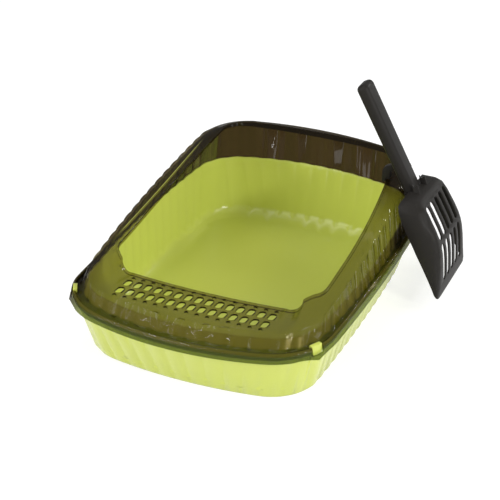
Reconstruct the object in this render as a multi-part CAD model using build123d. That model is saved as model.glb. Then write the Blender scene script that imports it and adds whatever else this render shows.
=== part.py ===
from build123d import *
import math
import os

# Overall sizes of the box, as written beside it: length, width and height
box_length = 480.0
box_width = 320.0
box_height = 140.0

# Plan of the skirt: long sides almost straight, ends bowed, big corners
side_radius = 3000.0
end_radius = 328.0
corner_radius = 80.0

# Flutes along each end, each long side and each corner
end_flutes = 9
side_flutes = 14
corner_flutes = 3

# Tray
tray_foot_side_inset = 21.0
tray_foot_end_inset = 34.5
tray_foot_width = box_width - 2 * tray_foot_side_inset
tray_foot_length = box_length - 2 * tray_foot_end_inset
tray_foot_end_radius = 490.0
tray_foot_corner_radius = 60.0
tray_shoulder_height = 61.0
tray_shoulder_inset = 6.5
tray_wall = 2.6
tray_floor = 2.6
tray_foot_round = 3.0
tray_flute_depth = 1.5
tray_inner_flute_depth = 0.5
tray_fillet_height = 18.0
tray_fillet_width = 20.0
tray_lip_height = 4.0
upstand_front = 78.0
upstand_back = 85.0
upstand_wall = 2.4
upstand_flute_share = 0.5
cove_steps = 4

# Surround: skirt, flange bead and valley
skirt_bottom = 60.6
bead_top = 72.2
bead_round = 3.6
bead_inset = 4.5
valley_side_inset = 5.4
valley_end_inset = 8.0
valley_width = box_width - 2 * valley_side_inset
valley_length = box_length - 2 * valley_end_inset
valley_drop = 2.6
valley_slope = 0.4
skirt_draft = 0.8
bead_steps = 3
sheet = 2.2

# Surround: fluted wall, shoulder band and the edge of the opening
wall_foot_side_inset = 6.5
wall_foot_end_inset = 14.5
wall_foot_width = box_width - 2 * wall_foot_side_inset
wall_foot_length = box_length - 2 * wall_foot_end_inset
wall_foot_side_radius = 1500.0
wall_foot_corner_radius = 68.0
wall_flute_depth = 2.0
shoulder_side_inset = 14.5
shoulder_front_inset = 24.0
shoulder_back_inset = 18.0
shoulder_width = box_width - 2 * shoulder_side_inset
shoulder_front = box_length / 2 - shoulder_front_inset
shoulder_back = box_length / 2 - shoulder_back_inset
shoulder_end_radius = 322.0
shoulder_corner_radius = 62.0
shoulder_flute_depth = 1.3
shoulder_front_height = 86.0
shoulder_back_height = 134.5
shoulder_rise_inset = 80.0
shoulder_rise_start = shoulder_rise_inset - box_length / 2
shoulder_crown_share = 0.2
band_start = 9.0
band_crown = 1.4
opening_side_inset = 33.5
opening_front_inset = 97.0
opening_back_inset = 34.0
opening_width = box_width - 2 * opening_side_inset
opening_front = box_length / 2 - opening_front_inset
opening_back = box_length / 2 - opening_back_inset
opening_side_radius = 12000.0
opening_end_radius = 800.0
opening_corner_radius = 37.0
opening_side_height = 97.4
opening_rise_start_inset = 140.0
opening_rise_end_inset = 80.0
opening_rise_start = opening_rise_start_inset - box_length / 2
opening_rise_end = box_length / 2 - opening_rise_end_inset
opening_crown_share = -0.49
opening_narrow_share = 0.136
opening_narrow_inset = 200.0
opening_narrow_start = opening_narrow_inset - box_length / 2
step_edge_height = 81.0
step_riser_start_share = 0.14
step_riser_end_share = 0.42
edge_round = 0.9
lip_front = 3.8
lip_side = 4.5
lip_back = 8.0
lip_under_side = 2.7

# Sieve in the entry step: columns of two slots between two round holes, in front of the opening
sieve_columns = 15
sieve_side_inset = 73.9
sieve_pitch = (box_width - 2 * sieve_side_inset) / (sieve_columns - 1)
slot_width = 7.8
slot_length = 16.0
dot_width = 4.4
dot_length = 4.4
dot_back_gap = 6.8
slot_back_gap = 20.8
slot_front_gap = 41.1
dot_front_gap = 54.0

# Snap lugs of the tray and their windows in the surround
lug_width = 14.0
lug_depth = 4.8
lug_top = 73.0
lug_bottom = 60.8
lug_clearance = 0.9
lug_steps_from_middle = 1
window_sill = 1.9
finger_lip_drop = 3.6
finger_lip_flare = 2.0

# Running clearance between pieces that lift apart
clearance = 0.3

# Scoop: where it hangs on the right wall, and its blade
scoop_back_inset = 123.0
blade_root_inset = 9.5
blade_root_drop = 8.0
scoop_y = box_length / 2 - scoop_back_inset
blade_root_x = box_width / 2 - blade_root_inset
blade_root_height = box_height - blade_root_drop
blade_out = 61.5
blade_drop = 111.5
blade_half_width = 58.0
blade_wall = 1.8
blade_corner = 10.0
blade_corner_steps = 4
blade_haunch_share = 0.36
blade_slots = 5
blade_slot_pitch = 16.2
blade_slot_width = 9.4

# Places down the blade, of its sizes: floor's reach, drop from the root, open edge's reach, half width
blade_place_shares = [
    (0.33, 0.0, 0.06, 0.62),
    (0.4, 0.014, 0.02, 0.745),
    (0.48, 0.05, 0.0, 0.83),
    (0.565, 0.12, 0.035, 0.87),
    (0.655, 0.206, 0.107, 0.895),
    (0.745, 0.29, 0.195, 0.913),
    (0.825, 0.377, 0.293, 0.93),
    (0.88, 0.455, 0.382, 0.944),
    (0.92, 0.538, 0.468, 0.955),
    (0.952, 0.655, 0.6, 0.968),
    (0.974, 0.78, 0.733, 0.98),
    (0.99, 0.89, 0.846, 0.992),
    (0.998, 0.96, 0.91, 1.0),
    (1.0, 1.0, 0.948, 0.96),
]

# Upper and lower ends of the two rows of slots, in the same shares of reach and drop
blade_slot_row_shares = [
    ((0.5, 0.058), (0.85, 0.398)),
    ((0.905, 0.444), (0.985, 0.86)),
]

# Scoop: socket, handle and hook
handle_root_out = 1.5
handle_root_drop = 1.0
handle_root_x = blade_root_x + handle_root_out
handle_root_z = blade_root_height - handle_root_drop
handle_lean = 29.8
handle_width = 27.0
handle_thickness = 14.5
handle_top_width = 28.0
handle_top_thickness = 15.0
handle_length = 140.0
handle_round = 6.0
handle_foot_drop = 1.0
handle_foot_room = 12.0
socket_wall = 1.0
socket_depth = 7.0
tenon_length = 4.5
tenon_inset = 2.0
tenon_play = 0.1
fin_width = 1.8
fin_out = 7.5
fin_length = 10.0
fin_height = 12.0
hook_offset = 9.0
hook_width = 8.0
hook_rise = 25.3

# Side of a fin from its foot beside the handle, and side of the hook from its seat on the opening's edge
fin_shares = [(0, 0), (0.75, 0), (0.3, 1), (-0.05, 0.68), (-0.4, 0.93)]
hook_shares = [
    (1, 1),
    (0.01, 0.644),
    (-0.158, 0.545),
    (-0.228, 0.407),
    (-0.228, -0.15),
    (-0.168, -0.19),
    (0, -0.19),
    (0, 0),
    (0.282, 0),
    (0.282, 0.328),
    (0.381, 0.466),
    (1, 0.723),
]

# One overrun for every cut
over = 4.0


def plan(half_width, half_length, side, end, corner):
    """Sizes of one eight-arc outline."""
    return (half_width, half_length, side, end, corner)


def inset(shape, distance):
    """The same outline, drawn in by a distance."""
    return tuple(value - distance for value in shape)


def turned(steps, width, height):
    """A quarter of an ellipse in equal turns, as distances drawn in and down, upright at first."""
    turns = [math.pi / 2 * step / steps for step in range(steps + 1)]
    return [(width * (1 - math.cos(turn)), height * math.sin(turn)) for turn in turns]


def between(low, high, share):
    """An outline part of the way from one to another."""
    return tuple(a + (b - a) * share for a, b in zip(low, high))


def down(points, drop):
    """The same points, some way lower."""
    return [point - Vector(0, 0, drop) for point in points]


def plan_arcs(shape):
    """Centre, radius, first and last angle and flute count of the eight arcs, from the right side on."""
    half_width, half_length, side, end, corner = shape
    side_x = half_width - side
    end_y = half_length - end
    span = math.hypot(side_x, end_y)
    near = side - corner
    far = end - corner
    along = (near**2 - far**2 + span**2) / (2 * span)
    across = math.sqrt(near**2 - along**2)
    run_x = -side_x / span
    run_y = end_y / span
    corner_x = side_x + run_x * along - run_y * across
    corner_y = run_y * along + run_x * across
    if corner_y < 0:
        corner_x = side_x + run_x * along + run_y * across
        corner_y = run_y * along - run_x * across
    low = math.atan2(corner_y, corner_x - side_x)
    high = math.atan2(corner_y - end_y, corner_x)
    turn = math.pi
    return [
        (side_x, 0, side, -low, low, side_flutes),
        (corner_x, corner_y, corner, low, high, corner_flutes),
        (0, end_y, end, high, turn - high, end_flutes),
        (-corner_x, corner_y, corner, turn - high, turn - low, corner_flutes),
        (-side_x, 0, side, turn - low, turn + low, side_flutes),
        (-corner_x, -corner_y, corner, turn + low, turn + high, corner_flutes),
        (0, -end_y, end, turn + high, 2 * turn - high, end_flutes),
        (corner_x, -corner_y, corner, 2 * turn - high, 2 * turn - low, corner_flutes),
    ]


# Numbers of the eight arcs in that order
RIGHT, BACK_RIGHT, BACK, BACK_LEFT, LEFT, FRONT_LEFT, FRONT, FRONT_RIGHT = range(8)

# The corners, and which way round the outline the nearest long side lies
side_ways = {FRONT_RIGHT: 1, BACK_RIGHT: -1, BACK_LEFT: 1, FRONT_LEFT: -1}


def stations(shape, shift=0):
    """Two places for each flute: its groove and its crest, as x, y, outward x, outward y, arc and share."""
    places = []
    for number, (x, y, radius, first, last, flutes) in enumerate(plan_arcs(shape)):
        for step in range(2 * flutes):
            share = step / (2 * flutes)
            angle = first + (last - first) * share
            out_x = math.cos(angle)
            out_y = math.sin(angle)
            places.append((x + radius * out_x, y + radius * out_y + shift, out_x, out_y, number, share))
    return places


def ring(shape, height, depth=0, shift=0):
    """A closed ring of points at a height, or at the height a function gives, with grooves of a depth."""
    points = []
    for index, (x, y, out_x, out_y, number, share) in enumerate(stations(shape, shift)):
        cut = depth if index % 2 == 0 else 0
        level = height(y, number, share) if callable(height) else height
        points.append(Vector(x - out_x * cut, y - out_y * cut, level))
    return points


def arc(start, middle, end):
    """An arc through three points, or a line where they are in a row."""
    chord = end - start
    off = (middle - start).cross(chord).length / chord.length
    straight = chord.length / 20000
    return Edge.make_three_point_arc(start, middle, end) if off > straight else Edge.make_line(start, end)


def ring_edges(points):
    """The arcs of a ring, one for each flute."""
    count = len(points)
    return [arc(points[i], points[i + 1], points[(i + 2) % count]) for i in range(0, count, 2)]


def skin(rings, closed):
    """Ruled faces from each ring to the next, and back to the first where it is closed."""
    edges = [ring_edges(points) for points in rings]
    faces = []
    pairs = list(zip(edges, edges[1:]))
    if closed:
        pairs.append((edges[-1], edges[0]))
    for low, high in pairs:
        faces += [Face.make_surface_from_curves(a, b) for a, b in zip(low, high)]
    return faces, edges


def solid_of(faces):
    """A closed solid from faces that meet."""
    solid = Solid(Shell(faces))
    return solid if solid.volume > 0 else Solid(Shell([-face for face in faces]))


def ease(share):
    """A smooth start and end between zero and one."""
    return (1 - math.cos(math.pi * share)) / 2


# Outlines, from the outside of the skirt inwards
skirt_plan = plan(box_width / 2, box_length / 2, side_radius, end_radius, corner_radius)
tray_foot_plan = plan(
    tray_foot_width / 2, tray_foot_length / 2, side_radius, tray_foot_end_radius, tray_foot_corner_radius
)
tray_top_plan = inset(skirt_plan, tray_shoulder_inset)
wall_inset = (box_length - wall_foot_length) / 2
wall_foot_plan = plan(
    wall_foot_width / 2,
    wall_foot_length / 2,
    wall_foot_side_radius,
    end_radius - wall_inset,
    wall_foot_corner_radius,
)
valley_plan = plan(
    valley_width / 2,
    valley_length / 2,
    side_radius,
    end_radius - (box_length - valley_length) / 2,
    corner_radius - (box_width - valley_width) / 2,
)
shoulder_plan = plan(
    shoulder_width / 2,
    (shoulder_front + shoulder_back) / 2,
    side_radius,
    shoulder_end_radius,
    shoulder_corner_radius,
)
shoulder_shift = (shoulder_back - shoulder_front) / 2
opening_plan = plan(
    opening_width / 2,
    (opening_front + opening_back) / 2,
    opening_side_radius,
    opening_end_radius,
    opening_corner_radius,
)
opening_shift = (opening_back - opening_front) / 2

# Levels that follow from the flange
valley_top = bead_top - valley_drop
flange_under = valley_top - sheet
foot_under = flange_under + valley_slope
tray_rim = flange_under - clearance


def climb(y, start, end, low, high, crown_share):
    """A height that rises from low to high between two places along the box."""
    share = min(max((y - start) / (end - start), 0), 1)
    return low + (high - low) * share * (1 + crown_share - crown_share * share)


def shoulder_height(y, number, share):
    """Height of the shoulder line: low in front, rising to the back."""
    return climb(
        y, shoulder_rise_start, shoulder_back, shoulder_front_height, shoulder_back_height, shoulder_crown_share
    )


def around(number, share, front, side, back):
    """A value for the front, the sides and the back, easing from one to the next in the corners."""
    blends = {
        FRONT: (front, front, 0),
        FRONT_RIGHT: (front, side, share),
        FRONT_LEFT: (front, side, 1 - share),
        BACK: (back, back, 0),
        BACK_RIGHT: (side, back, share),
        BACK_LEFT: (side, back, 1 - share),
    }
    first, last, part = blends.get(number, (side, side, 0))
    return first + (last - first) * ease(part)


def riser(share):
    """How much of the riser is done at a share of a front corner, from the step on."""
    done = (share - step_riser_start_share) / (step_riser_end_share - step_riser_start_share)
    return min(max(done, 0), 1)


def opening_height(y, number, share):
    """Height of the opening's edge: the step in front, steep risers at its ends, the sides, the back."""
    start, end = opening_rise_start, opening_rise_end
    side = climb(y, start, end, opening_side_height, box_height, opening_crown_share)
    if number == FRONT_RIGHT:
        share = riser(share)
    if number == FRONT_LEFT:
        share = 1 - riser(1 - share)
    return around(number, share, step_edge_height, side, box_height)


def lowered(height, drop):
    """A height function, some way lower; the drop may itself change along the outline."""
    if callable(drop):
        return lambda y, number, share: height(y, number, share) - drop(y, number, share)
    return lambda y, number, share: height(y, number, share) - drop


def lip_under(y, number, share):
    """How far the band's underside lies below the opening's edge, just outside the lip."""
    return around(number, share, sheet, lip_under_side, lip_under_side)


def lip_depth(y, number, share):
    """Depth of the turned-down lip round the opening."""
    return around(number, share, lip_front, lip_side, lip_back)


def drawn_in(x, y):
    """How far out a place round the opening is, once the opening is drawn in towards the back."""
    share = max((y - opening_narrow_start) / (opening_back - opening_narrow_start), 0)
    return x * (1 - opening_narrow_share * share**2)


def opening_ring(distance, height):
    """A ring round the opening, inset by a distance and drawn in towards the back."""
    points = ring(inset(opening_plan, distance), height, 0, opening_shift)
    return [Vector(drawn_in(point.X, point.Y), point.Y, point.Z) for point in points]


def edge_place(y):
    """Distance out and height of the opening's right edge at a place along the box."""
    x, _, radius, _, _, _ = plan_arcs(inset(opening_plan, edge_round))[RIGHT]
    reach = x + math.sqrt(radius**2 - (y - opening_shift) ** 2)
    return drawn_in(reach, y), opening_height(y, RIGHT, 0)


def carved(shape, tools):
    """One solid with every tool cut away."""
    return shape.cut(*tools).solids()[0]


def joined(shape, tools):
    """One solid with every tool added."""
    return shape.fuse(*tools).solids()[0]


def lug_frames(shape):
    """Place of a snap lug on each corner of an outline, with its outward angle in degrees."""
    frames = []
    for number, way in side_ways.items():
        x, y, radius, first, last, flutes = plan_arcs(shape)[number]
        angle = (first + last) / 2 + way * (last - first) * lug_steps_from_middle / (2 * flutes)
        place = (x + radius * math.cos(angle), y + radius * math.sin(angle))
        frames.append((place, math.degrees(angle)))
    return frames


def corner_block(outer, depth, width, bottom, top):
    """Four blocks where the snap lugs stand, from an inset inwards by a depth."""
    blocks = []
    for (x, y), angle in lug_frames(skirt_plan):
        block = Box(depth, width, top - bottom)
        block = Pos(-outer - depth / 2, 0, (top + bottom) / 2) * block
        blocks.append(Pos(x, y, 0) * Rot(0, 0, angle) * block)
    return blocks


def upstand_ring(distance, flute_share):
    """A ring at the top of the tray's upstand, along the inside of the surround's fluted wall."""
    foot = ring(inset(wall_foot_plan, distance), foot_under, wall_flute_depth * flute_share)
    under = lowered(shoulder_height, sheet)
    top = ring(inset(shoulder_plan, distance), under, shoulder_flute_depth * flute_share, shoulder_shift)
    points = []
    for low, high in zip(foot, top):
        level = climb(low.Y, -shoulder_front, shoulder_back, upstand_front, upstand_back, 0)
        points.append(low + (high - low) * ((level - low.Z) / (high.Z - low.Z)))
    return points


def make_tray():
    """Lime tray: a fluted, drafted wall with a coved floor, an outward lip, an upstand and four snap lugs."""
    lip_outer = inset(skirt_plan, skirt_draft + sheet + clearance)
    cove_share = tray_fillet_height / tray_shoulder_height
    cove_top = inset(between(tray_foot_plan, tray_top_plan, cove_share), tray_wall)
    cove = turned(cove_steps, tray_fillet_width, tray_fillet_height - tray_floor)
    lip_bottom = tray_rim - tray_lip_height
    inside = sheet + clearance
    rings = [
        ring(inset(tray_foot_plan, tray_foot_round), 0),
        ring(tray_foot_plan, tray_foot_round, tray_flute_depth),
        ring(tray_top_plan, lip_bottom - tray_wall, tray_flute_depth),
        ring(tray_top_plan, lip_bottom),
        ring(lip_outer, lip_bottom),
        ring(lip_outer, tray_rim),
        ring(inset(wall_foot_plan, inside), tray_rim, wall_flute_depth),
        upstand_ring(inside, 1),
        upstand_ring(inside + upstand_wall, upstand_flute_share),
        ring(cove_top, tray_fillet_height, tray_inner_flute_depth),
    ]
    rings += [ring(inset(cove_top, across), tray_fillet_height - drop) for across, drop in cove[1:]]
    faces, edges = skin(rings, False)
    faces.append(Face(Wire(edges[0])))
    faces.append(Face(Wire(edges[-1])))
    lugs = corner_block(sheet + lug_clearance, lug_depth, lug_width, lug_bottom, lug_top)
    return joined(solid_of(faces), lugs)


def make_surround():
    """Smoky surround: skirt, beaded flange, fluted wall, shoulder band, lip and the sieve step."""
    flange = skirt_plan
    low_outer = ring(flange, skirt_bottom)
    low_inner = ring(inset(flange, sheet), skirt_bottom)
    for points in (low_outer, low_inner):
        drop_finger_lips(points)
    bead_side = bead_top - bead_round
    bead = turned(bead_steps, bead_inset - skirt_draft, bead_round)
    smooth = ring(shoulder_plan, shoulder_height, 0, shoulder_shift)
    opening = opening_ring(0, opening_height)
    band = []
    for low, high, station in zip(smooth, opening, stations(shoulder_plan)):
        lift = around(station[4], station[5], 0, band_crown, band_crown)
        band.append(low + (high - low).normalized() * band_start + Vector(0, 0, lift))
    lip_bottom = lowered(opening_height, lip_depth)
    band_slope = lowered(opening_height, lip_under)
    rings = [
        low_outer,
        *[ring(inset(flange, skirt_draft + across), bead_side + rise) for across, rise in bead],
        ring(valley_plan, valley_top),
        ring(wall_foot_plan, foot_under + sheet, wall_flute_depth),
        ring(shoulder_plan, shoulder_height, shoulder_flute_depth, shoulder_shift),
        band,
        opening,
        opening_ring(edge_round, lowered(opening_height, edge_round)),
        opening_ring(edge_round, lip_bottom),
        opening_ring(edge_round - sheet, lip_bottom),
        opening_ring(edge_round - sheet, band_slope),
        down(band, sheet),
        ring(
            inset(shoulder_plan, sheet), lowered(shoulder_height, sheet), shoulder_flute_depth, shoulder_shift
        ),
        ring(inset(wall_foot_plan, sheet), foot_under, wall_flute_depth),
        ring(inset(valley_plan, sheet), flange_under),
        ring(inset(flange, bead_inset + sheet / 2), bead_top - sheet),
        ring(inset(flange, skirt_draft + sheet), bead_side),
        low_inner,
    ]
    faces, _ = skin(rings, True)
    window_depth = over + sheet + lug_clearance + lug_depth + clearance
    window_width = lug_width + 2 * lug_clearance
    windows = corner_block(-over, window_depth, window_width, skirt_bottom + window_sill, lug_top + over)
    return carved(solid_of(faces), windows + sieve_cutters())


def drop_finger_lips(points):
    """Let the skirt dip and flare at one place of each corner, below the snap lug."""
    count = 0
    for number, (_, _, _, _, _, flutes) in enumerate(plan_arcs(skirt_plan)):
        if number in side_ways:
            index = 2 * (count + flutes // 2) + 1 + side_ways[number] * lug_steps_from_middle
            point = points[index]
            flat = Vector(point.X, point.Y, 0).normalized()
            points[index] = point + flat * finger_lip_flare - Vector(0, 0, finger_lip_drop)
        count += flutes


def sieve_cutters():
    """Upright cutters for the rows of holes and slots in the entry step."""
    rows = [
        (dot_front_gap, dot_width, dot_length),
        (slot_front_gap, slot_width, slot_length),
        (slot_back_gap, slot_width, slot_length),
        (dot_back_gap, dot_width, dot_length),
    ]
    top = shoulder_front_height + over
    bottom = step_edge_height - over * 2
    middle = (sieve_columns - 1) / 2
    cutters = []
    for gap, width, length in rows:
        for column in range(sieve_columns):
            x = (column - middle) * sieve_pitch
            if length > width:
                hole = SlotOverall(length, width, 90)
            else:
                hole = Circle(width / 2)
            cutters.append(Pos(x, -opening_front - gap, bottom) * extrude(hole, amount=top - bottom))
    return cutters


def blade_places():
    """Floor x, height, open edge x and half width at each place down the blade."""
    return [
        (
            blade_root_x + blade_out * floor,
            blade_root_height - blade_drop * drop,
            blade_root_x + blade_out * open_edge,
            blade_half_width * half,
        )
        for floor, drop, open_edge, half in blade_place_shares
    ]


def blade_section(place, wall, facing, beyond, lower=0):
    """The U of the blade at one place, drawn in by a wall and carried beyond its open side."""
    floor_x, z, open_x, half = place
    out, up = facing
    haunch = (floor_x - open_x) * blade_haunch_share
    side = [(open_x - beyond, half - wall)]
    for across, rise in turned(blade_corner_steps, blade_corner - wall, haunch - wall * out):
        side.append((floor_x - haunch + rise, half - wall - across))
    points = [(x, -y) for x, y in side] + side[::-1]
    return Wire.make_polygon([Vector(x, scoop_y + y, z - wall * up - lower) for x, y in points], close=True)


def facings(places):
    """Which way the blade's floor faces at each place, as out and up."""
    ways = []
    for index in range(len(places)):
        start = places[max(index - 1, 0)]
        end = places[min(index + 1, len(places) - 1)]
        out = start[1] - end[1]
        up = end[0] - start[0]
        ways.append((out / math.hypot(out, up), up / math.hypot(out, up)))
    return ways


def make_blade():
    """Charcoal blade: a slotted floor, haunched side walls, a root wall and the handle's socket."""
    places = blade_places()
    ways = facings(places)
    outer = Solid.make_loft([blade_section(place, 0, way, 0) for place, way in zip(places, ways)], ruled=True)
    hollow = [blade_section(place, blade_wall, way, over) for place, way in zip(places, ways)]
    hollow.append(blade_section(places[-1], blade_wall, ways[-1], over, over))
    inner = Solid.make_loft(hollow, ruled=True)
    slots = []
    for high, low in blade_slot_row_shares:
        slots += slot_cutters(high, low)
    blade = carved(outer, [inner] + slots)
    socket = socket_block(socket_wall, -handle_foot_drop - socket_depth, -handle_foot_drop)
    foot = handle_root_x + fin_out
    fin = [(foot + fin_length * x, handle_root_z + fin_height * z) for x, z in fin_shares]
    reach = (handle_width + fin_width) / 2 + tenon_play
    fins = [standing(fin, scoop_y + side * reach, fin_width) for side in (-1, 1)]
    blade = joined(blade, [socket] + fins)
    pocket_bottom = -handle_foot_drop - tenon_length - tenon_play
    pocket = socket_block(tenon_play - tenon_inset, pocket_bottom, -handle_foot_drop)
    return carved(blade, [pocket, socket_block(tenon_play, -handle_foot_drop, handle_foot_room)])


def slot_cutters(high, low):
    """One row of slots along the floor, between two places."""
    top = Vector(blade_root_x + blade_out * high[0], scoop_y, blade_root_height - blade_drop * high[1])
    foot = Vector(blade_root_x + blade_out * low[0], scoop_y, blade_root_height - blade_drop * low[1])
    along = foot - top
    lean = math.degrees(math.atan2(along.X, -along.Z))
    middle = (top + foot) * 0.5
    hole = extrude(SlotOverall(along.length, blade_slot_width), amount=over * 2, both=True)
    cutters = []
    for slot in range(blade_slots):
        y = (slot - (blade_slots - 1) / 2) * blade_slot_pitch
        cutters.append(Pos(middle.X, middle.Y + y, middle.Z) * Rot(0, 90 - lean, 0) * hole)
    return cutters


def standing(outline, y, width):
    """A flat outline seen from the front, given a width along the box."""
    face = Face(Wire.make_polygon([Vector(x, y, z) for x, z in outline], close=True))
    return Solid.extrude(face, Vector(0, width / 2, 0)).fuse(Solid.extrude(face, Vector(0, -width / 2, 0)))


def handle_frame():
    """Where the handle leaves the blade's root wall, leaning over the box."""
    return Pos(handle_root_x, scoop_y, handle_root_z) * Rot(0, -handle_lean, 0)


def socket_block(wall, bottom, top):
    """A rounded block round the handle's root, in line with the handle."""
    outline = RectangleRounded(handle_thickness + 2 * wall, handle_width + 2 * wall, handle_round + wall)
    return handle_frame() * Pos(0, 0, bottom) * extrude(outline, amount=top - bottom)


def make_handle():
    """Charcoal handle: a rounded, tapering bar with a tenon below and a hook towards the box."""
    low = Pos(0, 0, -handle_foot_drop) * RectangleRounded(handle_thickness, handle_width, handle_round)
    high = Pos(0, 0, handle_length) * RectangleRounded(handle_top_thickness, handle_top_width, handle_round)
    bar = loft([low, high], ruled=True)
    bar = fillet(bar.faces().sort_by(Axis.Z)[-1].edges(), handle_round)
    tenon = socket_block(-tenon_inset, -handle_foot_drop - tenon_length, -handle_foot_drop)
    return joined(handle_frame() * bar, [tenon, make_hook()])


def make_hook():
    """The hook: its arm out of the handle, a head that rests on the opening's edge and a tip behind it."""
    y = scoop_y + hook_offset
    x, z = edge_place(y + hook_width / 2)
    seat_x = x - clearance
    seat_z = z + clearance
    arm = handle_root_x - math.tan(math.radians(handle_lean)) * (seat_z + hook_rise - handle_root_z) - seat_x
    outline = [(seat_x + arm * across, seat_z + hook_rise * up) for across, up in hook_shares]
    return standing(outline, y, hook_width)


os.makedirs("parts", exist_ok=True)
export_step(make_tray(), "parts/tray.step")
export_step(make_surround(), "parts/surround.step")
export_step(make_blade(), "parts/scoop_blade.step")
export_step(make_handle(), "parts/scoop_handle.step")
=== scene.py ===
# %% [markdown]
# # A semi-enclosed litter box, dressed over its CAD frame
# The box is three mouldings and a scoop. A lime tray holds the litter, a smoky see-through
# surround hooks over the tray's rim, and a charcoal scoop hangs on the surround's edge.
# The CAD model gives every shape and place, so this file starts by loading it, and all that
# follows gives each moulding the edges and the finish that it has on the real object, with some
# light and shade painted into the surround's colours.

# %% Load the imported model
import math

import bmesh
import bpy
from mathutils import Matrix, Vector


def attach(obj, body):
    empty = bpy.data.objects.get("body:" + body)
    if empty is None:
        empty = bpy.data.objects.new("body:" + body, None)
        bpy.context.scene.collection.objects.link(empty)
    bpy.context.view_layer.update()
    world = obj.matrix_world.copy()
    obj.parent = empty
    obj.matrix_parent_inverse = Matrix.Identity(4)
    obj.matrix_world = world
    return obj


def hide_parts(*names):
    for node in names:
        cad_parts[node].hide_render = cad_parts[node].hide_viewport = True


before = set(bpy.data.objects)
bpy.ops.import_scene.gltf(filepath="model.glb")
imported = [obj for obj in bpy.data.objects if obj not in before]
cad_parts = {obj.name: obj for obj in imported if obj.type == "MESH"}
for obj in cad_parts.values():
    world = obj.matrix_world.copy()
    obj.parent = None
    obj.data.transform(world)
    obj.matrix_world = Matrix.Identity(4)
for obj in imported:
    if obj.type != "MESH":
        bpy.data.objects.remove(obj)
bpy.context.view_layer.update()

# %% [markdown]
# ## The camera
# A product photograph is taken with a long lens from above one corner. The place, the tilt
# and the lens were solved from the outlines in the photograph, so the script only sets
# them. The three columns of a camera's matrix are its right, its up and its backward
# direction, and the fourth is its place.

# %% Place the camera
AZIMUTH = math.radians(21.4561580)
ELEVATION = math.radians(27.7260647)
ROLL = math.radians(2.23396867)
DISTANCE = 1.8218519
TARGET = Vector((-0.00654815, 0.0, 0.06494417))
LENS_MM = 110.584
SENSOR_MM = 36.0

backward = Vector((math.sin(AZIMUTH) * math.cos(ELEVATION),
                   -math.cos(AZIMUTH) * math.cos(ELEVATION),
                   math.sin(ELEVATION)))
level_right = Vector((math.cos(AZIMUTH), math.sin(AZIMUTH), 0.0))
level_up = backward.cross(level_right)
right = level_right * math.cos(ROLL) + level_up * math.sin(ROLL)
up = level_up * math.cos(ROLL) - level_right * math.sin(ROLL)
eye = TARGET + backward * DISTANCE

camera_data = bpy.data.cameras.new("product_camera")
camera_data.sensor_width = SENSOR_MM
camera_data.lens = LENS_MM
camera_data.clip_end = 50.0
camera = bpy.data.objects.new("product_camera", camera_data)
bpy.context.scene.collection.objects.link(camera)
camera.matrix_world = Matrix(((right.x, up.x, backward.x, eye.x),
                              (right.y, up.y, backward.y, eye.y),
                              (right.z, up.z, backward.z, eye.z),
                              (0.0, 0.0, 0.0, 1.0)))
bpy.context.scene.camera = camera
print("camera at", [round(v, 3) for v in eye])

# %% [markdown]
# ## Colours and nodes
# A colour picked from a screen is an sRGB value, while a shader works in linear light, so
# one small function turns a hex code to linear. A second one adds a node, fills in its
# settings and joins its inputs, so each material below reads as a list of what it is.

# %% Helpers for colours and nodes
def linear(hex_code):
    shares = [int(hex_code[i:i + 2], 16) / 255 for i in (1, 3, 5)]
    light = [s / 12.92 if s <= 0.04045 else ((s + 0.055) / 1.055) ** 2.4 for s in shares]
    return (*light, 1.0)


def add(tree, kind, settings=None, **inputs):
    """Add a node. An input is named, with _ for a space, or numbered, as _0."""
    node = tree.nodes.new(kind)
    for name, value in (settings or {}).items():
        setattr(node, name, value)
    for name, value in inputs.items():
        key = int(name[1:]) if name[0] == "_" else name.replace("_", " ")
        socket = node.inputs[key]
        if isinstance(value, bpy.types.NodeSocket):
            tree.links.new(value, socket)
        else:
            socket.default_value = value
    return node


def new_material(name):
    material = bpy.data.materials.new(name)
    material.use_nodes = True
    material.node_tree.nodes.clear()
    return material, material.node_tree


print("lime in linear light:", [round(v, 3) for v in linear("#CCD562")])

# %% [markdown]
# ## The room
# The photograph has a white ground and soft light from all round. On a real table that is
# translucent paper lit from below as well as from above. The floor does the same: what the
# camera and clear or glossy plastic see of it is a glow under white paper, and the paper
# still darkens where the object takes light away. All other light meets plain white paper,
# so the glow adds nothing to the light on the object.

# %% Floor and sky
FLOOR_SPAN = 14.0
FLOOR_DROP = 0.0004
WHITE = (1, 1, 1, 1)
PLAIN_PAPER = (0.9, 0.9, 0.9, 1)
LIT_PAPER = (0.42, 0.42, 0.42, 1)
GLOW_STRENGTH = 0.74
SKY_STRENGTH = 0.36

bpy.ops.object.select_all(action="DESELECT")
bpy.ops.mesh.primitive_plane_add(size=FLOOR_SPAN, location=(0, 0, -FLOOR_DROP))
floor = bpy.context.active_object
floor.name = "studio_floor"
bpy.ops.object.transform_apply(location=True)
paper, tree = new_material("white paper floor")
plain = add(tree, "ShaderNodeBsdfDiffuse", Color=PLAIN_PAPER)
lit_paper = add(tree, "ShaderNodeBsdfDiffuse", Color=LIT_PAPER)
glow = add(tree, "ShaderNodeEmission", Color=WHITE, Strength=GLOW_STRENGTH)
glowing = add(tree, "ShaderNodeAddShader", _0=lit_paper.outputs[0], _1=glow.outputs[0])
rays = add(tree, "ShaderNodeLightPath").outputs
seen = add(tree, "ShaderNodeMath", {"operation": "MAXIMUM"},
           _0=rays["Is Camera Ray"], _1=rays["Is Glossy Ray"])
seen = add(tree, "ShaderNodeMath", {"operation": "MAXIMUM"},
           _0=seen.outputs[0], _1=rays["Is Transmission Ray"])
either = add(tree, "ShaderNodeMixShader",
             _0=seen.outputs[0], _1=plain.outputs[0], _2=glowing.outputs[0])
add(tree, "ShaderNodeOutputMaterial", Surface=either.outputs[0])
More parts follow.
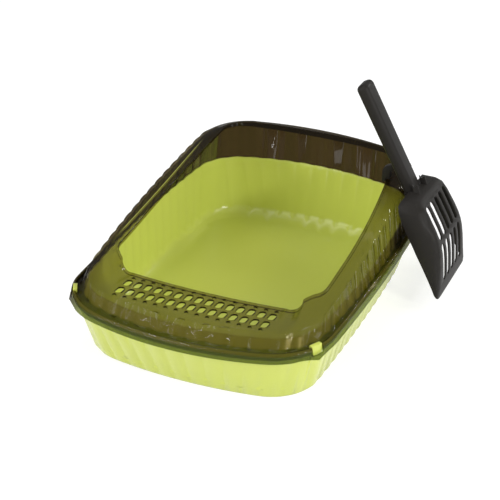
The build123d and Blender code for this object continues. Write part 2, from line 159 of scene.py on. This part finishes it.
floor.data.materials.append(paper)

world = bpy.data.worlds.new("soft room")
bpy.context.scene.world = world
world.use_nodes = True
world.node_tree.nodes.clear()
tree = world.node_tree
rays = add(tree, "ShaderNodeLightPath").outputs
strength = add(tree, "ShaderNodeMapRange", Value=rays["Is Camera Ray"], _3=SKY_STRENGTH, _4=1.0)
sky = add(tree, "ShaderNodeBackground", Color=WHITE, Strength=strength.outputs[0])
add(tree, "ShaderNodeOutputWorld", Surface=sky.outputs[0])
bpy.context.scene.view_settings.view_transform = "Standard"
print("floor span", FLOOR_SPAN, "and sky strength", SKY_STRENGTH)

# %% [markdown]
# ## The lamps
# Soft boxes at the front and the right and a weak one above give the soft light of a
# product photograph: the wider the box, the softer its shadow. Glossy plastic shows its
# roundings only where it mirrors something bright, so a small box and two narrow strips
# draw glints on the surround's corner, front and side and add little light.
# Each row has the lamp's place, the point that it looks at, its width and height, all in
# metres, and its power in watts.

# %% Lamps
LAMPS = {
    "top_box": ((-0.5, 0.3, 2.1), (0, 0, 0), 0.9, 0.9, 4.5),
    "front_box": ((-1.5, -2.2, 1.1), (0, 0, 0.05), 2.0, 1.4, 36),
    "right_box": ((1.7, 0.2, 1.3), (-0.15, 0, 0.05), 1.0, 0.8, 10),
    "corner_glint": ((1.8, -0.78, 0.92), (0.1, -0.15, 0.07), 0.3, 0.25, 18),
    "front_strip": ((-0.64, -0.98, 1.7), (0, -0.2, 0.07), 1.6, 0.06, 8),
    "side_strip": ((0.75, 1.9, 1.0), (0.15, 0, 0.07), 0.07, 1.3, 6),
}

for name, (place, aim, width, height, watts) in LAMPS.items():
    data = bpy.data.lights.new(name, "AREA")
    data.shape = "RECTANGLE"
    data.size = width
    data.size_y = height
    data.energy = watts
    lamp = bpy.data.objects.new(name, data)
    bpy.context.scene.collection.objects.link(lamp)
    lamp.location = place
    lamp.rotation_euler = (Vector(aim) - Vector(place)).to_track_quat("-Z", "Y").to_euler()
print(len(LAMPS), "lamps")

# %% [markdown]
# ## Lime polypropylene
# The tray is injection-moulded polypropylene, coloured in the pellet. Steel moulds for such
# trays are blasted to a fine satin grain, so the surface is soft and slightly waxy, with
# broad highlights and no sharp mirror images. The grain is a noise on Object coordinates,
# which are metres, so a scale of 1000 / 0.35 is one grain in 0.35 mm. That is finer than
# the picture can show: it only softens the highlights, as on the real tray. A slow cloud of
# 90 mm is the slight unevenness of colour that the flow of plastic leaves.

# %% Make the lime polypropylene
CLOUD_MM = 90.0
GRAIN_LOW, GRAIN_HIGH = 0.3, 0.7
SMOOTHER, ROUGHER = 0.05, 0.06
BUMP_STRENGTH = 0.35
POLYPROPYLENE_IOR = 1.49


def satin_plastic(name, light, dark, grain_mm, grain_depth_mm, roughness, gloss):
    material, tree = new_material(name)
    place = add(tree, "ShaderNodeTexCoord").outputs["Object"]
    cloud = add(tree, "ShaderNodeTexNoise", Vector=place, Scale=1000 / CLOUD_MM, Detail=3.0)
    colour = add(tree, "ShaderNodeMix", {"data_type": "RGBA"}, _0=cloud.outputs["Fac"],
                 _6=linear(dark), _7=linear(light))
    grain = add(tree, "ShaderNodeTexNoise", Vector=place, Scale=1000 / grain_mm, Detail=2.0)
    rough = add(tree, "ShaderNodeMapRange", Value=grain.outputs["Fac"], _1=GRAIN_LOW,
                _2=GRAIN_HIGH, _3=roughness - SMOOTHER, _4=roughness + ROUGHER)
    bump = add(tree, "ShaderNodeBump", Strength=BUMP_STRENGTH, Distance=grain_depth_mm / 1000,
               Height=grain.outputs["Fac"])
    shader = add(tree, "ShaderNodeBsdfPrincipled", Base_Color=colour.outputs[2],
                 Roughness=rough.outputs[0], Normal=bump.outputs[0], IOR=POLYPROPYLENE_IOR,
                 Specular_IOR_Level=gloss)
    add(tree, "ShaderNodeOutputMaterial", Surface=shader.outputs[0])
    return material


lime = satin_plastic("moulded polypropylene, lime satin", "#CCD562", "#C6CF5B",
                     grain_mm=0.35, grain_depth_mm=0.02, roughness=0.23, gloss=0.5)
print(lime.name)

# %% [markdown]
# ## Charcoal polypropylene
# The scoop is the same plastic with black pellets and a slightly coarser grain, so it is
# duller: soft grey highlights along its edges and hardly any colour.

# %% Make the charcoal polypropylene
charcoal = satin_plastic("moulded polypropylene, charcoal satin", "#2B2927", "#272522",
                         grain_mm=0.45, grain_depth_mm=0.03, roughness=0.46, gloss=0.1)
print(charcoal.name)

# %% [markdown]
# ## Smoky see-through plastic
# The surround is clear plastic with a brown tint, polished in the mould. It mirrors the
# lamps, and what lies behind shows through darker and browner. Light is bent very little
# by a wall of two millimetres, so a tinted pass-through under a glossy skin gives the same
# picture as glass with far less noise. Seen aslant, light takes a longer way through the
# sheet, so the tint deepens with the slant, and that draws every rounding and flute.
# The tint is painted deeper at the high back, past the left corner and low in the left skirt:
# painted shade that darkens those walls. Low down, a painted green cast stands in for the lime
# lip's light behind. Along the left shoulder's fold, a painted bright line of the lime wall's
# colour, one to two millimetres wide, stands in for a highlight.
#
# Four materials share this: the plain sheet, painted dark lines along folds and lips, painted
# shade in the valleys and cut rims, and a painted reflection of the lime tray on the flutes
# that face it.

# %% Make the smoky plastic
# The places are in metres from the middle of the tray's underside.
# The back, left-corner and skirt places bound where shade is painted into the tint.
BACK_FROM, BACK_FULL = 0.02, 0.19
LEFT_FROM, LEFT_FULL = 0.141, 0.149
CORNER_FROM, CORNER_PAST, CORNER_STEP = -0.17, -0.12, 0.004
SKIRT_TOP, ABOVE_SKIRT, SKIRT_SHADE = 0.0675, 0.07, 0.8
SKIRT_LEFT, SKIRT_FRONT = -0.15, -0.12
# Below these heights a green cast is painted into the tint, standing in for the lime lip's
# light.
GREEN_TOP, ABOVE_GREEN = 0.0675, 0.0695
SLANT_POWER = 4.0
# Where the painted bright line lies along the left shoulder's fold, and how strongly it shows.
FOLD_X, FOLD_SLOPE = -0.1331, 0.0295
FOLD_HALF_WIDTH, FOLD_GONE = 0.0004, 0.001
FOLD_MIDDLE_Y, FOLD_REACH, FOLD_END, PAINTED_LINE_SHARE = 0.02, 0.09, 0.125, 0.75
BELOW_FOLD, FOLD_HEIGHT = 0.088, 0.092
CLEAR_IOR = 1.5
PAINTED_LIME_CAST = "#DDEBC4"
PAINTED_LINE_LIME = "#C2C648"


def smoky_plastic(name, near, shade_colour, aslant, shade_colour_aslant, skin, skin_share, roughness):
    material, tree = new_material(name)
    place = add(tree, "ShaderNodeTexCoord").outputs["Object"]
    axes = add(tree, "ShaderNodeSeparateXYZ", Vector=place).outputs
    x, y, z = axes["X"], axes["Y"], axes["Z"]

    # Painted shade: the tint is painted deeper at the back, past the left corner and low in the
    # left skirt.
    back_shade = add(tree, "ShaderNodeMapRange", {"interpolation_type": "SMOOTHSTEP"},
               Value=y, _1=BACK_FROM, _2=BACK_FULL, _3=0.0, _4=1.0)
    past = add(tree, "ShaderNodeMapRange",
               Value=y, _1=CORNER_FROM, _2=CORNER_PAST, _3=0.0, _4=CORNER_STEP)
    left_shade = add(tree, "ShaderNodeMath", {"operation": "SUBTRACT"}, _0=past.outputs[0], _1=x)
    left_shade = add(tree, "ShaderNodeMapRange", {"interpolation_type": "SMOOTHSTEP"},
               Value=left_shade.outputs[0], _1=LEFT_FROM, _2=LEFT_FULL, _3=0.0, _4=1.0)
    painted_shade = add(tree, "ShaderNodeMath", {"operation": "MAXIMUM"},
               _0=back_shade.outputs[0], _1=left_shade.outputs[0])
    low_skirt = add(tree, "ShaderNodeMapRange",
                    Value=z, _1=SKIRT_TOP, _2=ABOVE_SKIRT, _3=SKIRT_SHADE, _4=0.0)
    left_skirt = add(tree, "ShaderNodeMapRange",
                     Value=x, _1=SKIRT_LEFT, _2=SKIRT_FRONT, _3=1.0, _4=0.0)
    skirt_shade = add(tree, "ShaderNodeMath", {"operation": "MULTIPLY"},
                _0=low_skirt.outputs[0], _1=left_skirt.outputs[0])
    painted_shade = add(tree, "ShaderNodeMath", {"operation": "MAXIMUM"},
               _0=painted_shade.outputs[0], _1=skirt_shade.outputs[0])

    # The tint seen straight on and aslant, with a painted green cast low down that stands in
    # for the lime lip's light.
    straight = add(tree, "ShaderNodeMix", {"data_type": "RGBA"}, _0=painted_shade.outputs[0],
                   _6=linear(near), _7=linear(shade_colour))
    slanted = add(tree, "ShaderNodeMix", {"data_type": "RGBA"}, _0=painted_shade.outputs[0],
                  _6=linear(aslant), _7=linear(shade_colour_aslant))
    slant = add(tree, "ShaderNodeLayerWeight", Blend=0.5)
    slant = add(tree, "ShaderNodeMath", {"operation": "POWER"},
                _0=slant.outputs["Facing"], _1=SLANT_POWER)
    tint = add(tree, "ShaderNodeMix", {"data_type": "RGBA"}, _0=slant.outputs[0],
               _6=straight.outputs[2], _7=slanted.outputs[2])
    low = add(tree, "ShaderNodeMapRange", Value=z, _1=GREEN_TOP, _2=ABOVE_GREEN, _3=1.0, _4=0.0)
    tint = add(tree, "ShaderNodeMix", {"data_type": "RGBA", "blend_type": "MULTIPLY"},
               _0=low.outputs[0], _6=tint.outputs[2], _7=linear(PAINTED_LIME_CAST))

    # A painted bright line along the left shoulder's fold, standing in for a highlight.
    fold_x = add(tree, "ShaderNodeMath", {"operation": "MULTIPLY_ADD"},
                 _0=y, _1=FOLD_SLOPE, _2=FOLD_X)
    aside = add(tree, "ShaderNodeMath", {"operation": "SUBTRACT"}, _0=x, _1=fold_x.outputs[0])
    aside = add(tree, "ShaderNodeMath", {"operation": "ABSOLUTE"}, _0=aside.outputs[0])
    painted_line = add(tree, "ShaderNodeMapRange", Value=aside.outputs[0],
               _1=FOLD_HALF_WIDTH, _2=FOLD_GONE, _3=1.0, _4=0.0)
    along = add(tree, "ShaderNodeMath", {"operation": "SUBTRACT"}, _0=y, _1=FOLD_MIDDLE_Y)
    along = add(tree, "ShaderNodeMath", {"operation": "ABSOLUTE"}, _0=along.outputs[0])
    along = add(tree, "ShaderNodeMapRange", Value=along.outputs[0],
                _1=FOLD_REACH, _2=FOLD_END, _3=PAINTED_LINE_SHARE, _4=0.0)
    high = add(tree, "ShaderNodeMapRange",
               Value=z, _1=BELOW_FOLD, _2=FOLD_HEIGHT, _3=0.0, _4=1.0)
    painted_line = add(tree, "ShaderNodeMath", {"operation": "MULTIPLY"},
               _0=painted_line.outputs[0], _1=along.outputs[0])
    painted_line = add(tree, "ShaderNodeMath", {"operation": "MULTIPLY"},
               _0=painted_line.outputs[0], _1=high.outputs[0])

    # A glossy skin over the tinted pass-through, with the painted bright line mixed into the
    # skin.
    colour = add(tree, "ShaderNodeMix", {"data_type": "RGBA"}, _0=painted_line.outputs[0],
                 _6=linear(skin), _7=linear(PAINTED_LINE_LIME))
    gloss = add(tree, "ShaderNodeBsdfPrincipled", Base_Color=colour.outputs[2],
                Roughness=roughness, IOR=CLEAR_IOR, Coat_Weight=1.0, Coat_Roughness=roughness)
    through = add(tree, "ShaderNodeBsdfTransparent", Color=tint.outputs[2])
    share = add(tree, "ShaderNodeMath", {"operation": "MAXIMUM"},
                _0=painted_line.outputs[0], _1=skin_share)
    sheet = add(tree, "ShaderNodeMixShader",
                _0=share.outputs[0], _1=through.outputs[0], _2=gloss.outputs[0])
    add(tree, "ShaderNodeOutputMaterial", Surface=sheet.outputs[0])
    return material


# In each call the second and fourth colours are the painted shade for the back, the left corner
# and the left skirt.
smoky = smoky_plastic("moulded clear plastic, smoky brown tint",
                      "#DFDAC6", "#82755C", "#A09D70", "#5F5E3C", "#453B26", 0.15, 0.05)
# Painted dark lines for the folds, lips and sharp edges.
dark_edge_shade = smoky_plastic("moulded clear plastic, painted dark edge lines",
                      "#5C563A", "#3E382A", "#3A3424", "#3A3424", "#453B26", 0.3, 0.08)
# Painted shade for the valleys between the flutes and the walls of the sieve's holes.
valley_and_rim_shade = smoky_plastic("moulded clear plastic, valleys and cut rims",
                     "#2E2A1A", "#241F14", "#201C12", "#201C12", "#453B26", 0.4, 0.15)
# Its lime skin is a painted reflection of the tray on the flutes that face it.
painted_tray_reflection = smoky_plastic("moulded clear plastic, painted tray reflection on flutes",
                      "#DFDAC6", "#82755C", "#A09D70", "#5F5E3C", "#6E7A2E", 0.3, 0.1)
surround_finishes_and_painted_light = [smoky, dark_edge_shade, valley_and_rim_shade, painted_tray_reflection]
print([material.name for material in surround_finishes_and_painted_light])

# %% [markdown]
# ## The mouldings
# The CAD meshes are right in shape, but their triangles don't share corners, and their
# edges are knife-sharp. A moulded edge never is: the steel leaves a small radius that
# catches a thin line of light. So each moulding is a copy of its CAD mesh whose corners
# are merged, whose flat triangles are joined into whole faces, and whose edges get a bevel
# of the radius that the mould has.

# %% Copy a CAD mesh and round its edges
SAME_CORNER_M = 0.00001
FLAT_DEG = 0.2
SHARP_DEG = 38
SMOOTH_DEG = 35
WEIGHTS = "bevel_weight_edge"


def select_only(piece):
    bpy.ops.object.select_all(action="DESELECT")
    piece.select_set(True)
    bpy.context.view_layer.objects.active = piece


def cad_copy(name, node, body, materials):
    piece = bpy.data.objects.new(name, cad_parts[node].data.copy())
    bpy.context.scene.collection.objects.link(piece)
    piece.data.materials.clear()
    for material in materials:
        piece.data.materials.append(material)
    select_only(piece)
    bpy.ops.object.mode_set(mode="EDIT")
    bpy.ops.mesh.select_all(action="SELECT")
    bpy.ops.mesh.remove_doubles(threshold=SAME_CORNER_M)
    bpy.ops.mesh.dissolve_limited(angle_limit=math.radians(FLAT_DEG))
    bpy.ops.object.mode_set(mode="OBJECT")
    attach(piece, body)
    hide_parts(node)
    return piece


def edge_facts(piece):
    """Each edge's turn in degrees, below zero in a valley, its middle, and if it is outside."""
    mesh = bmesh.new()
    mesh.from_mesh(piece.data)
    facts = {}
    for edge in mesh.edges:
        if edge.is_manifold:
            middle = (edge.verts[0].co + edge.verts[1].co) / 2
            facing = edge.link_faces[0].normal + edge.link_faces[1].normal
            outer = facing.dot(Vector((middle.x, middle.y, 0.0))) > 0
            facts[edge.index] = (math.degrees(edge.calc_face_angle_signed(0.0)), middle, outer)
    mesh.free()
    return facts


def round_edges(piece, radius_mm, wanted, material_index=-1):
    """Bevel the wanted edges. A material index of -1 keeps the neighbours' material."""
    if piece.data.attributes.get(WEIGHTS) is None:
        piece.data.attributes.new(WEIGHTS, "FLOAT", "EDGE")
    chosen = {index for index, fact in edge_facts(piece).items() if wanted(*fact)}
    for index, item in enumerate(piece.data.attributes[WEIGHTS].data):
        item.value = 1.0 if index in chosen else 0.0
    rounding = piece.modifiers.new("mould radius", "BEVEL")
    rounding.width = radius_mm / 1000
    rounding.segments = 2
    rounding.limit_method = "WEIGHT"
    rounding.use_clamp_overlap = True
    rounding.material = material_index
    select_only(piece)
    bpy.ops.object.modifier_apply(modifier=rounding.name)
    print(piece.name, "rounded", len(chosen), "edges")


def smooth(piece):
    select_only(piece)
    bpy.ops.object.shade_smooth_by_angle(angle=math.radians(SMOOTH_DEG))
    print(piece.name, len(piece.data.polygons), "faces")


# %% [markdown]
# ## The three opaque mouldings
# Tray, blade and handle keep their CAD shape. The mould's radius is half a millimetre on
# the tray and the blade, and a little more on the handle, which the hand holds.

# %% Make the tray, the blade and the handle
tray = cad_copy("tray_moulding", "tray", "tray", [lime])
blade = cad_copy("blade_moulding", "scoop_blade", "scoop", [charcoal])
handle = cad_copy("handle_moulding", "scoop_handle", "scoop", [charcoal])
for piece, radius_mm in ((tray, 0.5), (blade, 0.5), (handle, 0.6)):
    round_edges(piece, radius_mm, lambda turn, middle, outer: abs(turn) > SHARP_DEG)
    smooth(piece)

# %% [markdown]
# ## The surround's flutes and lines
# Clear plastic shows its shape mostly by lines. Where the sheet turns sharply, light is bent
# aside and the edge looks dark, so that dark line is painted here as painted shade, in darker
# materials on the bevels and faces: in the valleys between the flutes, along the folds of the
# risers and around the mouth, where the lip is turned down. The valleys get the widest radius.
# The mouth's lip has its narrow chamfer from the CAD model already. The walls of the sieve's
# holes are painted dark on their front-facing side: painted shade, like that of cut rims in
# raking light. Flutes on the left wall that lean to the front get a painted reflection of the
# lime tray.

# %% Make the see-through surround
PLAIN, SHADED_LINE, SHADED_CUT, PAINTED_REFLECTION = range(4)
FOOT_HEIGHT = 0.0700
VALLEY_DEG = 11
VALLEY_LOW = FOOT_HEIGHT + 0.003
FOLD_DEG = 7
UPRIGHT = 0.35


def in_sieve(place):
    return abs(place.x) < 0.098 and -0.202 < place.y < -0.1455 and place.z > 0.075


def at_riser(place):
    beside = -0.2 < place.y < -0.118 and 0.085 < abs(place.x) < 0.125
    return beside and place.z > 0.0785 and not in_sieve(place)


def is_valley(turn, middle, outer):
    return outer and -SHARP_DEG < turn < -VALLEY_DEG and middle.z > VALLEY_LOW


def is_riser_fold(turn, middle, outer):
    return FOLD_DEG < abs(turn) < SHARP_DEG and at_riser(middle)


def is_sieve_edge(turn, middle, outer):
    return abs(turn) > SHARP_DEG and in_sieve(middle)


def is_other_edge(turn, middle, outer):
    return abs(turn) > SHARP_DEG and not in_sieve(middle)


def slot_with_painted_light_of(face):
    """The material slot of one face, from where it lies and how it faces: the plain sheet, a
    painted dark line, painted shade or a painted tray reflection.
    """
    middle = face.center
    across = face.normal.dot(Vector((middle.x, middle.y, 0.0)).normalized())
    upright = abs(face.normal.z) < UPRIGHT
    sieve = in_sieve(middle)
    face_slot = face.material_index
    left_wall = -0.11 < middle.y < 0.2085 and middle.x < -0.13 and middle.z > FOOT_HEIGHT
    # Painted reflection: left-wall flutes that lean to the front get the lime skin of the
    # tray's reflection.
    if upright and across < -0.6 and left_wall and face.normal.y < -0.04:
        face_slot = PAINTED_REFLECTION
    # Painted shade on the front-facing walls of the sieve's holes.
    if upright and sieve and face.normal.y < 0.1:
        face_slot = SHADED_CUT
    if face_slot == SHADED_CUT and not sieve and face.normal.z > 0.62:
        face_slot = PLAIN
    if across < -0.45 and 0.5 < face.normal.z < 0.85 and middle.z > 0.078 and not sieve:
        face_slot = SHADED_LINE
    return face_slot


surround = cad_copy("surround_moulding", "surround", "surround",
                    surround_finishes_and_painted_light)
# The bevels take darker materials: painted shade in the valleys and painted dark lines on folds
# and edges.
round_edges(surround, 1.2, is_valley, SHADED_CUT)
round_edges(surround, 0.6, is_riser_fold, SHADED_LINE)
round_edges(surround, 0.3, is_sieve_edge, PLAIN)
round_edges(surround, 0.45, is_other_edge, SHADED_LINE)
for face in surround.data.polygons:
    face.material_index = slot_with_painted_light_of(face)
smooth(surround)
